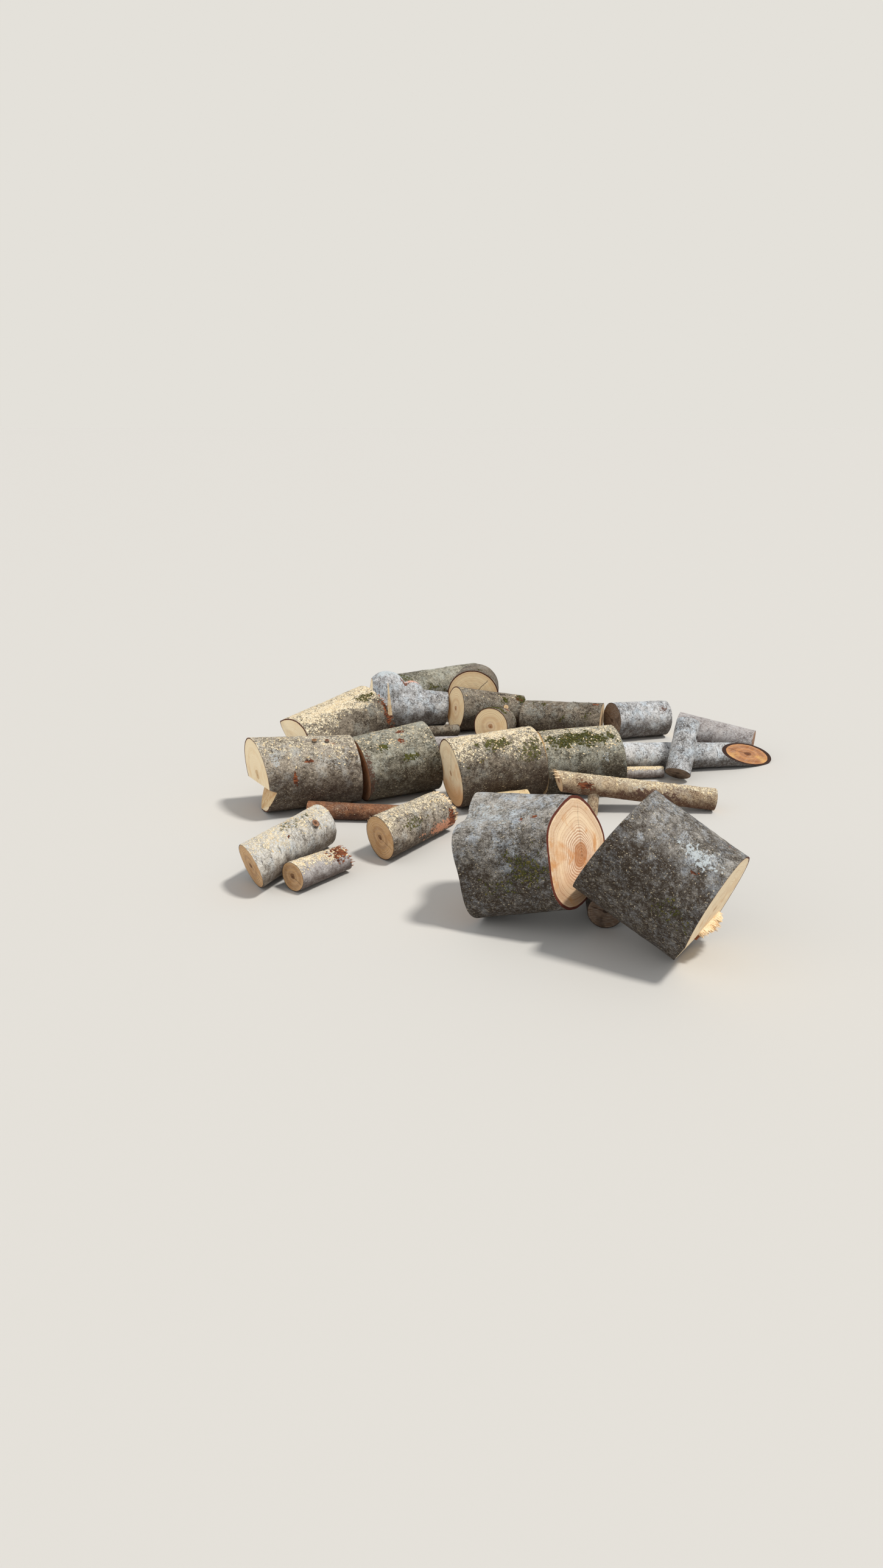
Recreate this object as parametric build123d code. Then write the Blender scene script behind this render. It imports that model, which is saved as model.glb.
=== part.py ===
from build123d import *
import math
import os

import numpy as np

# A loose heap of freshly sawn logs, as it lies on level ground. Millimetres, Z up.
# The head of a log is its left or near end and the tail is the other one.
# Headings are in degrees, from +X (right) towards +Y (back).

# Between two logs that touch
touch_gap = 0.4

# The two butt logs in front, from the foot of the tree
butt_left_length = 372
butt_left_head = 425
butt_left_tail = 391
butt_right_length = 422
butt_right_head = 431
butt_right_tail = 436
butt_limb_length = 260
butt_limb_diameter = 134

# Near row, one stem sawn in two
near_left_length = 450
near_left_head = 338
near_left_tail = 308
near_right_length = 372
near_right_head = 310
near_right_tail = 338

# Middle row, one stem sawn in two
middle_left_length = 428
middle_left_head = 322
middle_left_tail = 330
middle_right_length = 384
middle_right_head = 304
middle_right_tail = 306

# Back row, one stem sawn in three
back_left_length = 388
back_left_head = 246
back_left_tail = 178
back_middle_length = 430
back_middle_head = 186
back_middle_tail = 196
back_right_length = 318
back_right_head = 202
back_right_tail = 192

# Slanting log, with its tail on a hidden limb
slanting_length = 478
slanting_head = 348
slanting_tail = 318
slanting_limb_length = 460
slanting_limb_diameter = 104

# Forked log
forked_length = 436
forked_head = 262
forked_tail = 196
fork_radius = 112
fork_rise = 92
second_fork_radius = 72
second_fork_rise = 84

# Logs that lie end on behind the middle and back rows
end_small_length = 200
end_small_head = 208
end_small_tail = 160
end_large_length = 300
end_large_diameter = 306
mossy_length = 620
mossy_diameter = 236

# Front left: a short log with a torn tail, and a pale log with a small one beside it
torn_length = 430
torn_head = 188
torn_tail = 174
pale_length = 490
pale_head = 189
pale_tail = 184
beside_length = 270
beside_diameter = 124

# Thin stock between the rows
peeled_length = 650
peeled_diameter = 88
thin_brown_length = 170
thin_brown_diameter = 70
thin_pale_length = 380
thin_pale_diameter = 82
split_length = 180
split_diameter = 150

# Right side
slender_length = 720
slender_head = 110
slender_tail = 104
slender_rise = 138
offcut_length = 200
offcut_diameter = 64
oblique_length = 835
oblique_head = 166
oblique_tail = 126
smooth_length = 400
smooth_head = 200
smooth_tail = 144
leaning_length = 282
leaning_diameter = 130

# Strip of torn fibres across the felled face of a butt log
hinge_width = 190
hinge_thickness = 12
hinge_reach = 40
hinge_shift = 50
hinge_drop = 92
felled_slope = 2.5

# Notch cut into the foot of a near log
notch_drop = 61
notch_depth = 52
notch_slope = 22

# Flat faces of the split log and of the torn end
split_depth = 52
torn_slope = 18

# Stubs of branches, most sawn off close to the bark
knot_reach = 9
slender_leg_diameter = 56
peeled_knot_diameter = 58

# How many points an outline has
outline_count = 18
fluted_count = 36

# Flutes of the butt logs: how many waves, their depth as a share of the radius, and their turn in degrees
butt_left_head_lobes = ((2, 0.09, 32), (3, 0.041, 29), (4, 0.068, -37), (5, 0.048, -8))
butt_left_tail_lobes = ((2, 0.079, 29), (3, 0.045, -15), (4, 0.021, -40), (5, 0.026, -8))
butt_right_head_lobes = ((2, 0.007, 55), (3, 0.029, 42), (5, 0.012, 10))
butt_right_tail_lobes = ((2, 0.005, -54), (3, 0.014, -6), (5, 0.016, 30))


def waves(angle, lobes):
    # Departure from a circle at an angle, as a share of the radius
    return sum(depth * np.cos(count * (angle - math.radians(turn))) for count, depth, turn in lobes)


class Log:
    """One log: a stem between two flat sawn ends, whose section is out of round."""

    def __init__(self, name, length, head, tail, oval=0.03, turn=0, lobes=((3, 0.012, 40),), tail_lobes=None,
                 head_cut=(0, 0), tail_cut=(0, 0), count=outline_count):
        self.name = name
        self.length = length
        self.head = head / 2
        self.tail = tail / 2
        self.head_lobes = ((2, oval, turn), *lobes)
        self.tail_lobes = ((2, oval, turn), *(tail_lobes or lobes))
        self.head_cut = head_cut
        self.tail_cut = tail_cut
        self.count = count

    def place(self, x, y, heading):
        # Head at x, y, on the ground at both ends
        self.x, self.y = x, y
        self.heading = math.radians(heading)
        self.head_lift = self.head
        self.tail_lift = self.tail
        self.rest()
        return self

    def tail_x(self):
        return self.x + self.length * math.cos(self.heading)

    def tail_y(self):
        return self.y + self.length * math.sin(self.heading)

    def axes(self):
        rise = (self.tail_lift - self.head_lift) / self.length
        level = math.sqrt(1 - rise * rise)
        along = np.array([math.cos(self.heading) * level, math.sin(self.heading) * level, rise])
        aside = np.array([-math.sin(self.heading), math.cos(self.heading), 0.0])
        return along, aside, np.cross(along, aside)

    def start(self):
        return np.array([self.x, self.y, self.head_lift])

    def radius(self, angle, share):
        # Share runs from 0 at the head to 1 at the tail
        head = self.head * (1 + waves(angle, self.head_lobes))
        tail = self.tail * (1 + waves(angle, self.tail_lobes))
        return head + (tail - head) * share

    def ends(self, angle):
        # How far along the log the bark starts and stops, with the slant of both cuts taken in
        sides = np.cos(angle), np.sin(angle)
        near = self.radius(angle, 0) * (self.head_cut[0] * sides[0] + self.head_cut[1] * sides[1])
        far = self.radius(angle, 1) * (self.tail_cut[0] * sides[0] + self.tail_cut[1] * sides[1])
        return near, self.length + far

    def surface(self, angle, share):
        # Points of the bark
        along, aside, above = self.axes()
        sides = np.cos(angle), np.sin(angle)
        near, far = self.ends(angle)
        run = near + (far - near) * share
        reach = self.radius(angle, share)
        return (self.start() + np.multiply.outer(run, along) + np.multiply.outer(reach * sides[0], aside)
                + np.multiply.outer(reach * sides[1], above))

    def rest(self, tail_height=None):
        # Lowers each end to the ground, or only the head where the tail is held at a height
        angles = np.linspace(0, 2 * math.pi, 360)
        for _ in range(8):
            self.head_lift -= self.surface(angles, 0 * angles)[:, 2].min()
            if tail_height is None:
                self.tail_lift -= self.surface(angles, 1 + 0 * angles)[:, 2].min()
            else:
                self.tail_lift = tail_height

    def distance(self, points):
        # Signed distance from points to this log, negative inside
        along, aside, above = self.axes()
        local = points - self.start()
        run, side, up = local @ along, local @ aside, local @ above
        angle = np.arctan2(up, side)
        reach = np.hypot(side, up)
        near, far = self.ends(angle)
        share = np.clip((run - near) / (far - near), 0, 1)
        bark = reach - self.radius(angle, share)
        near = (self.head_cut[0] * side + self.head_cut[1] * up - run) / math.hypot(1, *self.head_cut)
        far = (run - self.length - self.tail_cut[0] * side - self.tail_cut[1] * up) / math.hypot(1, *self.tail_cut)
        sawn = np.maximum(near, far)
        return (np.hypot(np.maximum(bark, 0), np.maximum(sawn, 0))
                + np.minimum(np.maximum(bark, sawn), 0))


def nearest(one, other):
    # Least distance from the bark of one log to the other, on a net refined three times
    angle_middle, share_middle = math.pi, 0.5
    angle_reach, share_reach = math.pi, 0.5
    for _ in range(4):
        angles = np.linspace(angle_middle - angle_reach, angle_middle + angle_reach, 61)
        shares = np.clip(np.linspace(share_middle - share_reach, share_middle + share_reach, 41), 0, 1)
        net_angles, net_shares = np.meshgrid(angles, shares)
        gaps = other.distance(one.surface(net_angles, net_shares))
        lowest = np.unravel_index(np.argmin(gaps), gaps.shape)
        angle_middle, share_middle = net_angles[lowest], net_shares[lowest]
        angle_reach, share_reach = angle_reach / 15, share_reach / 10
    return gaps.min()


def clearance(log, others):
    return min(min(nearest(log, other), nearest(other, log)) for other in others)


def push(log, others, direction):
    # Slides a log over the ground until it touches one of the others
    step_x, step_y = math.cos(math.radians(direction)), math.sin(math.radians(direction))
    for _ in range(60):
        free = clearance(log, others) - touch_gap
        log.x += free * step_x
        log.y += free * step_y
        if abs(free) < 0.01:
            break
    return log


def lean(log, supports):
    # Head on the ground, tail raised until the log lies on one of its supports
    log.tail_lift = log.tail
    log.rest()
    low, high = log.tail_lift, log.tail_lift + 0.8 * log.length
    for _ in range(26):
        middle = (low + high) / 2
        log.rest(middle)
        if clearance(log, supports) < touch_gap:
            low = middle
        else:
            high = middle
    return log


# Front group: both butt logs have one end up on a limb, which lies under the tail of the left one
butt_left = Log("butt_log_left", butt_left_length, butt_left_head, butt_left_tail, oval=0,
                lobes=butt_left_head_lobes, tail_lobes=butt_left_tail_lobes,
                head_cut=(0.02, -0.035), tail_cut=(0.227, -0.09), count=fluted_count)
butt_left.place(136, -1329, -21.5)
butt_limb = Log("limb_under_butt_logs", butt_limb_length, butt_limb_diameter, butt_limb_diameter, turn=20)
butt_limb.place(butt_left.tail_x() + 0.52 * butt_left_tail / 2, butt_left.tail_y() - butt_limb_length / 6, 86)
lean(butt_left, [butt_limb])
butt_right = Log("butt_log_right", butt_right_length, butt_right_head, butt_right_tail, oval=0,
                 lobes=butt_right_head_lobes, tail_lobes=butt_right_tail_lobes,
                 head_cut=(0.017, -0.15), tail_cut=(-0.011, -0.121), count=fluted_count)
butt_right.place(926, -1761, 147)
for _ in range(2):
    lean(butt_right, [butt_limb])
    push(butt_right, [butt_left], 147)
lean(butt_right, [butt_limb])

# Near row
near_left = Log("near_row_left_log", near_left_length, near_left_head, near_left_tail, turn=80,
                head_cut=(-0.16, -0.12), tail_cut=(-0.03, -0.08))
near_left.place(-835, -343, 18.5)
near_right = Log("near_row_right_log", near_right_length, near_right_head, near_right_tail, turn=30,
                 head_cut=(0.03, -0.08), tail_cut=(0.1, -0.08))
near_right.place(-402, -205, 27)
push(near_right, [near_left], 207)

# Middle row
middle_left = Log("middle_row_left_log", middle_left_length, middle_left_head, middle_left_tail, turn=100,
                  lobes=((3, 0.015, 80),), head_cut=(0.08, -0.12), tail_cut=(0.04, -0.06))
middle_left.place(60, -285, 24)
push(middle_left, [near_right], 204)
middle_right = Log("middle_row_right_log", middle_right_length, middle_right_head, middle_right_tail, turn=60,
                   head_cut=(0.1, -0.06), tail_cut=(0.05, -0.1))
middle_right.place(470, -120, 15.5)
push(middle_right, [middle_left], 195)

# Back row
back_left = Log("back_row_left_log", back_left_length, back_left_head, back_left_tail, oval=0.05, turn=90,
                head_cut=(-0.2, 0.03), tail_cut=(0.05, 0.05))
back_left.place(79, 925, 11)
back_middle = Log("back_row_middle_log", back_middle_length, back_middle_head, back_middle_tail, turn=10,
                  head_cut=(0.2, 0), tail_cut=(0.05, 0.03))
back_middle.place(490, 910, -12.5)
push(back_middle, [back_left], 180)
back_right = Log("back_row_right_log", back_right_length, back_right_head, back_right_tail, turn=50,
                 head_cut=(-0.1, 0.06), tail_cut=(0, 0.05))
back_right.place(935, 775, 15)
push(back_right, [back_middle], 195)

# Forked log against the head of the back row, and the slanting log in front of it
forked = Log("forked_log", forked_length, forked_head, forked_tail, oval=0.04, turn=10,
             head_cut=(0, 0), tail_cut=(0.05, 0.04))
forked.place(-425, 990, 9)
push(forked, [back_left], 9)
slanting_limb = Log("limb_under_slanting_log", slanting_limb_length, slanting_limb_diameter,
                    slanting_limb_diameter, turn=70)
slanting_limb.place(-430, 320, 85)
push(slanting_limb, [forked], 85)
slanting = Log("slanting_log", slanting_length, slanting_head, slanting_tail, turn=20,
               head_cut=(0.28, -0.25), tail_cut=(0.05, -0.05))
slanting.place(-695, 150, 41.5)
for _ in range(3):
    lean(slanting, [slanting_limb])
    push(slanting, [near_left, near_right], 270)

# End-on logs
end_small = Log("end_on_log_small", end_small_length, end_small_head, end_small_tail, turn=90, head_cut=(0.05, 0))
end_small.place(228, 561, 66)
push(end_small, [back_left, back_middle], 66)
end_large = Log("end_on_log_large", end_large_length, end_large_diameter, end_large_diameter * 0.9,
                oval=0.02, turn=90)
end_large.place(180, 1100, 84)
push(end_large, [back_left, back_middle], 270)
mossy = Log("mossy_log", mossy_length, mossy_diameter, mossy_diameter * 0.95, turn=40)
mossy.place(-310, 1330, 36)
push(mossy, [end_large, forked], 300)

# Thin stock
thin_brown = Log("thin_log_brown_end", thin_brown_length, thin_brown_diameter, thin_brown_diameter * 0.94)
thin_brown.place(-75, 790, 14)
push(thin_brown, [back_left, forked], 60)
thin_pale = Log("thin_log_pale", thin_pale_length, thin_pale_diameter * 0.95, thin_pale_diameter)
thin_pale.place(-270, 545, 4)
push(thin_pale, [end_small], 4)
peeled = Log("peeled_limb", peeled_length, peeled_diameter, peeled_diameter * 0.8, oval=0.05)
peeled.place(-600, -455, -4)
push(peeled, [near_left, near_right], 90)
split_piece = Log("split_log", split_length, split_diameter, split_diameter)
split_piece.place(228, -420, 18)
push(split_piece, [middle_left], 100)

# Front left
torn = Log("torn_log", torn_length, torn_head, torn_tail, oval=0.03, turn=70, head_cut=(0.25, -0.1))
torn.place(-240, -885, 54)
push(torn, [peeled, middle_left], 54)
pale = Log("pale_log", pale_length, pale_head, pale_tail, turn=100, head_cut=(0.58, -0.35), tail_cut=(0.3, -0.1))
pale.place(-730, -1182, 62)
beside = Log("small_log_beside_pale_log", beside_length, beside_diameter, beside_diameter * 0.9)
beside.place(-540, -1225, 48)
push(beside, [pale], 138)

# Right side
oblique = Log("oblique_cut_log", oblique_length, oblique_head, oblique_tail, tail_cut=(1.8, -1.7))
oblique.place(740, 250, 8)
push(oblique, [middle_right], 270)
smooth = Log("smooth_log", smooth_length, smooth_head, smooth_tail, turn=45)
smooth.place(1265, 640, -23)
push(smooth, [oblique], 270)
slender = Log("slender_log", slender_length, slender_head, slender_tail, oval=0.04, tail_cut=(-0.25, 0.3))
slender.place(1250, -333, 179)
slender.rest(slender_rise)
push(slender, [middle_left, middle_right], 90)
offcut = Log("offcut_log", offcut_length, offcut_diameter, offcut_diameter, head_cut=(0.3, 0.1))
offcut.place(902, 100, 3)
push(offcut, [oblique], 90)
leaning = Log("leaning_log", leaning_length, leaning_diameter, leaning_diameter * 0.92, turn=60)
leaning.place(1163, 58, 67)
lean(leaning, [oblique, offcut])

# Sawn knots of a log: share of its length, angle and diameter
sawn_knots = [(forked, [(0.07, 153, 34)]), (back_left, [(0.685, 154, 32)]), (pale, [(0.695, 134, 38)]),
              (near_left, [(0.565, 105, 26), (0.695, 106, 24)])]

logs = [butt_left, butt_right, butt_limb, near_left, near_right, middle_left, middle_right,
        back_left, back_middle, back_right, forked, slanting, slanting_limb, end_small, end_large, mossy,
        thin_brown, thin_pale, peeled, split_piece, torn, pale, beside, oblique, smooth, slender, offcut, leaning]


def outline(log, share):
    angles = np.linspace(0, 2 * math.pi, log.count, endpoint=False)
    corners = log.surface(angles, share + 0 * angles)
    steps = [float(step) for step in np.linspace(0, 1, log.count + 1)]
    return Wire([Edge.make_spline([Vector(*corner) for corner in corners], periodic=True, parameters=steps)])


def stem(log):
    return Solid.make_loft([outline(log, 0), outline(log, 1)], ruled=True)


def radial(log, angle):
    # Direction from the pith to the bark at an angle
    along, aside, above = log.axes()
    return math.cos(math.radians(angle)) * aside + math.sin(math.radians(angle)) * above


def limb(log, share, angle, diameter, reach):
    # A round limb or sawn knot that stands out from the stem at an angle
    foot = log.start() + log.axes()[0] * log.length * share
    size = float(log.radius(math.radians(angle), share)) + reach
    base = Plane(origin=Vector(*foot), z_dir=Vector(*radial(log, angle)))
    return base * Pos(0, 0, size / 2) * Cone(diameter * 0.58, diameter / 2, size)


def leg(log, share, angle, diameter):
    # A branch stub that stands on the ground and holds the log up
    foot = log.start() + log.axes()[0] * log.length * share
    way = radial(log, angle)
    size = (foot[2] - diameter / 2 * math.sqrt(1 - way[2] ** 2)) / -way[2]
    return Plane(origin=Vector(*foot), z_dir=Vector(*way)) * Pos(0, 0, size / 2) * Cylinder(diameter / 2, size)


def crotch(log, share, rise, radius):
    # The swelling where a limb was cut off on top of the log
    middle = log.start() + log.axes()[0] * log.length * share + radial(log, 84) * rise
    return Pos(*middle) * Sphere(radius)


def end_point(log, end, angle, offset):
    # A point on a sawn face, at an offset from the pith; the end is 0 for the head and 1 for the tail
    cut = log.tail_cut if end else log.head_cut
    slant = cut[0] * math.cos(math.radians(angle)) + cut[1] * math.sin(math.radians(angle))
    return log.start() + log.axes()[0] * (log.length * end + slant * offset) + radial(log, angle) * offset


def facet(body, log, end, angle, offset, slope):
    # A second cut across an end, which starts at an offset from the pith and slants back into the log
    outward = log.axes()[0] * (2 * end - 1)
    normal = math.cos(math.radians(slope)) * outward + math.sin(math.radians(slope)) * radial(log, angle)
    cut = Plane(origin=Vector(*end_point(log, end, angle, offset)), z_dir=Vector(*normal))
    return split(body, bisect_by=cut, keep=Keep.BOTTOM)


def notch(body, log, end, angle):
    # A felling notch: its flat top lies below the pith, and its back slants out to the rim
    outward = log.axes()[0] * (2 * end - 1)
    slope = math.radians(notch_slope)
    corner = end_point(log, end, angle, notch_drop) - outward * notch_depth
    down = math.cos(slope) * radial(log, angle) + math.sin(slope) * outward
    back = math.cos(slope) * outward - math.sin(slope) * radial(log, angle)
    cutter = Box(log.head * 2, log.head * 4, log.head, align=(Align.MIN, Align.CENTER, Align.MIN))
    return body - Plane(origin=Vector(*corner), x_dir=Vector(*down), z_dir=Vector(*back)) * cutter


def flatten(body, log, angle, depth):
    # A split face along the whole log
    way = radial(log, angle)
    face = log.start() + way * (log.head - depth)
    return split(body, bisect_by=Plane(origin=Vector(*face), z_dir=Vector(*way)), keep=Keep.BOTTOM)


def hinge(log, end, drop):
    # The strip of fibres left standing on a felled face
    outward = log.axes()[0] * (2 * end - 1)
    base = Plane(origin=Vector(*end_point(log, end, 270, drop)), x_dir=Vector(*radial(log, 0)), z_dir=Vector(*outward))
    return base * Pos(-hinge_shift, 0, 0) * Box(hinge_width, hinge_thickness, 2 * hinge_reach)


def knots(log, places):
    # Each place is the share of the length, the angle and the diameter
    stubs = [limb(log, share, angle, diameter, knot_reach) for share, angle, diameter in places]
    return sum(stubs[1:], stubs[0])


bodies = {log.name: stem(log) for log in logs}
bodies["forked_log"] += crotch(forked, 0.2, fork_rise, fork_radius)
bodies["forked_log"] += crotch(forked, 0.52, second_fork_rise, second_fork_radius)
for log, places in sawn_knots:
    bodies[log.name] += knots(log, places)
bodies["slender_log"] += leg(slender, 0.77, 300, slender_leg_diameter)
bodies["peeled_limb"] += limb(peeled, 0.62, 150, peeled_knot_diameter, knot_reach * 2)
bodies["near_row_left_log"] = notch(bodies["near_row_left_log"], near_left, 0, 261)
bodies["slanting_log"] = facet(bodies["slanting_log"], slanting, 0, 100, 96, 30)
bodies["butt_log_right"] = facet(bodies["butt_log_right"], butt_right, 0, 90, -hinge_drop, felled_slope)
bodies["butt_log_right"] += hinge(butt_right, 0, hinge_drop - hinge_thickness / 2)
bodies["torn_log"] = facet(bodies["torn_log"], torn, 1, 110, -20, torn_slope)
bodies["small_log_beside_pale_log"] = facet(bodies["small_log_beside_pale_log"], beside, 1, 120, -10, torn_slope)
bodies["split_log"] = flatten(bodies["split_log"], split_piece, 110, split_depth)

boxes = [body.bounding_box() for body in bodies.values()]
left, right = min(box.min.X for box in boxes), max(box.max.X for box in boxes)
front, back = min(box.min.Y for box in boxes), max(box.max.Y for box in boxes)
ground = min(box.min.Z for box in boxes)
to_origin = Pos(-(left + right) / 2, -(front + back) / 2, -ground)
print("middle of the heap", (left + right) / 2, (front + back) / 2, ground)

os.makedirs("parts", exist_ok=True)
for name, body in bodies.items():
    export_step(to_origin * body, f"parts/{name}.step")
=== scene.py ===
import math
import random
from functools import cache

import bmesh
import bpy
import numpy as np
from mathutils import Matrix, Vector, noise
from mathutils.bvhtree import BVHTree


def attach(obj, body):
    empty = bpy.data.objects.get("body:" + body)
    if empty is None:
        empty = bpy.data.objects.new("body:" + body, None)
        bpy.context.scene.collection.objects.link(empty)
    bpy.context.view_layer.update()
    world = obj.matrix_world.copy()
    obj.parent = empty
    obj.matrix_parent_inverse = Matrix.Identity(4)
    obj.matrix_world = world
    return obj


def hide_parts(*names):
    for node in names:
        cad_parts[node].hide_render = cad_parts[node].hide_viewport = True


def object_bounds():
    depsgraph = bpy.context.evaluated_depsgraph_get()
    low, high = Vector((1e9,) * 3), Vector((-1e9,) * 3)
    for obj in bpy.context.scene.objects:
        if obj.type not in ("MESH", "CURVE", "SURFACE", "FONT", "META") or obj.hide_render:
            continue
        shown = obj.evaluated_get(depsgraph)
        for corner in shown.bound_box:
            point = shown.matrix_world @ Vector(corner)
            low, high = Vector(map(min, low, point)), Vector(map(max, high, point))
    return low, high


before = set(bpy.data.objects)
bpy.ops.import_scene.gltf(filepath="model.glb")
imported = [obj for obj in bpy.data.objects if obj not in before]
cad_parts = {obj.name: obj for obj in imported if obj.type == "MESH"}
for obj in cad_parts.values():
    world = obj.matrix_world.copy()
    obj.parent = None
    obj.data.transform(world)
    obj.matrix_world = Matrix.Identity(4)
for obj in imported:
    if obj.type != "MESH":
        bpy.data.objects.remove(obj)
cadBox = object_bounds()
print("frame loaded")

# Sizes are in metres and angles in degrees. On a log, share runs from 0 at its head to 1 at its tail,
# and the angle round it is 0 at the left of the heading, 90 on top and 180 at the right.

skinSettings = {
    "edge": 0.0062,         # length of a face on the bark
    "smallEdge": 0.0045,    # the same on thin logs
    "capEdge": 0.0075,      # length of a face on a sawn end
    "lump": 0.0034,         # depth of the broad unevenness
    "ripple": 0.0017,       # depth of the bark's relief
    "thin": 0.075,          # bark radius under which a log counts as thin
    "torn": 0.0022,         # depth of torn bark
    "scar": 0.0015,         # depth of a scar
    "moss": 0.0016,         # how far moss lifts the skin
    "sawn": 0.0005,         # how far the saw's marks lie inside the solid
    "sawWave": 0.00035,     # height of those marks
}
readSettings = {
    "rays": 72,             # rays round a log
    "facing": 0.33,         # least share of a plane's normal along the log
    "sameWay": 0.9997,      # least cosine between two triangles of a plane
    "sameLevel": 0.0006,    # largest step between them
    "leastShare": 0.07,     # smallest plane beside the largest one
    "orders": 6,            # orders of the Fourier fit
    "swollen": 1.25,        # reach beside the typical one that is left out
    "miss": 0.003,          # largest miss of the fit
}


# Reading a log's solid

def readTriangles(node):
    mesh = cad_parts[node].data
    mesh.calc_loop_triangles()
    points = np.empty(len(mesh.vertices) * 3)
    mesh.vertices.foreach_get("co", points)
    corners = np.empty(len(mesh.loop_triangles) * 3, dtype=np.int64)
    mesh.loop_triangles.foreach_get("vertices", corners)
    return points.reshape(-1, 3), corners.reshape(-1, 3)


def flatFaces(points, corners, direction):
    # sawn planes that face a direction: their points and outward normals, largest first
    a, b, c = (points[corners[:, i]] for i in range(3))
    cross = np.cross(b - a, c - a)
    area = np.linalg.norm(cross, axis=1) / 2
    keep = area > 1e-9
    normal = cross[keep] / (2 * area[keep, None])
    middle, area = ((a + b + c) / 3)[keep], area[keep]
    keep = normal @ direction > readSettings["facing"]
    normal, middle, area = normal[keep], middle[keep], area[keep]
    groups = []
    while len(area):
        seed = int(np.argmax(area))
        same = normal @ normal[seed] > readSettings["sameWay"]
        same &= np.abs((middle - middle[seed]) @ normal[seed]) < readSettings["sameLevel"]
        groups.append((float(area[same].sum()), middle[seed], normal[seed]))
        normal, middle, area = normal[~same], middle[~same], area[~same]
    groups.sort(key=lambda group: -group[0])
    return [group[1:] for group in groups if group[0] > readSettings["leastShare"] * groups[0][0]]


def waves(angles, orders=readSettings["orders"]):
    # columns of a Fourier fit round the log
    columns = [np.ones_like(angles)]
    for k in range(1, orders):
        columns += [np.cos(k * angles), np.sin(k * angles)]
    return np.stack(columns, axis=-1)


class Stem:
    # a log's centre line, bark radius and sawn planes

    def frameFrom(self, along):
        self.along = along / np.linalg.norm(along)
        self.aside = np.cross([0.0, 0.0, 1.0], self.along)
        self.aside /= np.linalg.norm(self.aside)
        self.above = np.cross(self.along, self.aside)

    def around(self, angle):
        return np.multiply.outer(np.cos(angle), self.aside) + np.multiply.outer(np.sin(angle), self.above)

    def radius(self, angle, run):
        steady, sloping = waves(angle) @ self.fit[0], waves(angle) @ self.fit[1]
        return steady + sloping * run

    def headRun(self, side, up):
        return np.max([self.planeRun(plane, side, up) for plane in self.headPlanes], axis=0)

    def tailRun(self, side, up):
        return np.min([self.planeRun(plane, side, up) for plane in self.tailPlanes], axis=0)

    def planeRun(self, plane, side, up):
        point, normal = plane
        level = (point - self.origin) @ normal - side * (self.aside @ normal) - up * (self.above @ normal)
        return level / (self.along @ normal)

    def ends(self):
        # where the centre line meets the two faces
        return float(self.headRun(0, 0)), float(self.tailRun(0, 0))

    def rim(self, angle, faceRun):
        run = faceRun(0 * angle, 0 * angle)
        for _ in range(5):
            reach = self.radius(angle, run)
            run = faceRun(reach * np.cos(angle), reach * np.sin(angle))
        return run

    def place(self, side, up, run):
        return (self.origin + np.multiply.outer(side, self.aside) + np.multiply.outer(up, self.above)
                + np.multiply.outer(run, self.along))


def readStem(node, heading, rise, shares):
    points, corners = readTriangles(node)
    tree = BVHTree.FromPolygons([tuple(p) for p in points], [tuple(int(i) for i in c) for c in corners])
    level, lift = math.radians(heading), math.radians(rise)
    stem = Stem()
    flat = math.cos(lift)
    stem.frameFrom(np.array([math.cos(level) * flat, math.sin(level) * flat, math.sin(lift)]))
    stem.headPlanes = flatFaces(points, corners, -stem.along)
    stem.tailPlanes = flatFaces(points, corners, stem.along)
    stem.origin = (stem.headPlanes[0][0] + stem.tailPlanes[0][0]) / 2
    stem.origin = points.mean(axis=0) * 0.2 + stem.origin * 0.8
    angles = np.linspace(0, 2 * math.pi, readSettings["rays"], endpoint=False)
    shares = np.array(shares)
    for attempt in range(4):
        start, end = stem.ends()
        runs = start + (end - start) * shares
        reach = np.full((len(runs), len(angles)), np.nan)
        for i, run in enumerate(runs):
            centre = Vector(stem.origin + stem.along * run)
            for j, way in enumerate(stem.around(angles)):
                hit = tree.ray_cast(centre, Vector(way))
                if hit[0] is not None:
                    reach[i, j] = hit[3]
        if attempt < 3:
            # the middle of each section moves the centre line
            middles = []
            for i, run in enumerate(runs):
                good = reach[i] < readSettings["swollen"] * np.nanmedian(reach[i])
                cover = waves(angles[good], 3)
                shape = np.linalg.lstsq(cover, reach[i][good], rcond=None)[0]
                middles.append(stem.place(shape[1], shape[2], run))
            middles = np.array(middles)
            across = middles[-2:].mean(axis=0) - middles[:2].mean(axis=0)
            stem.origin = middles.mean(axis=0)
            stem.frameFrom(across)
    net, length = np.meshgrid(angles, runs)
    good = ~np.isnan(reach)
    for _ in range(4):
        cover = np.concatenate([waves(net[good]), waves(net[good]) * length[good][:, None]], axis=1)
        shape = np.linalg.lstsq(cover, reach[good], rcond=None)[0]
        half = len(shape) // 2
        stem.fit = (shape[:half], shape[half:])
        miss = np.abs(reach - stem.radius(net, length))
        good = ~np.isnan(reach) & (miss < readSettings["miss"])
    stem.middle = float(stem.fit[0][0])
    return stem


def roundStem(point, along, headRadius, tailRadius, length, tailNormal=None):
    # a plain round limb between two flat ends
    stem = Stem()
    stem.frameFrom(np.array(along))
    stem.origin = np.array(point)
    steady, sloping = np.zeros((2, 2 * readSettings["orders"] - 1))
    steady[0], sloping[0] = headRadius, (tailRadius - headRadius) / length
    stem.fit = (steady, sloping)
    stem.headPlanes = [(stem.origin, -stem.along)]
    stem.tailPlanes = [(stem.origin + stem.along * length, stem.along if tailNormal is None else tailNormal)]
    stem.middle = (headRadius + tailRadius) / 2
    return stem


# The skin of a log

markKinds = ("sawdust", "moss", "torn", "scar", "pale", "brown", "sap", "under")


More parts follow.
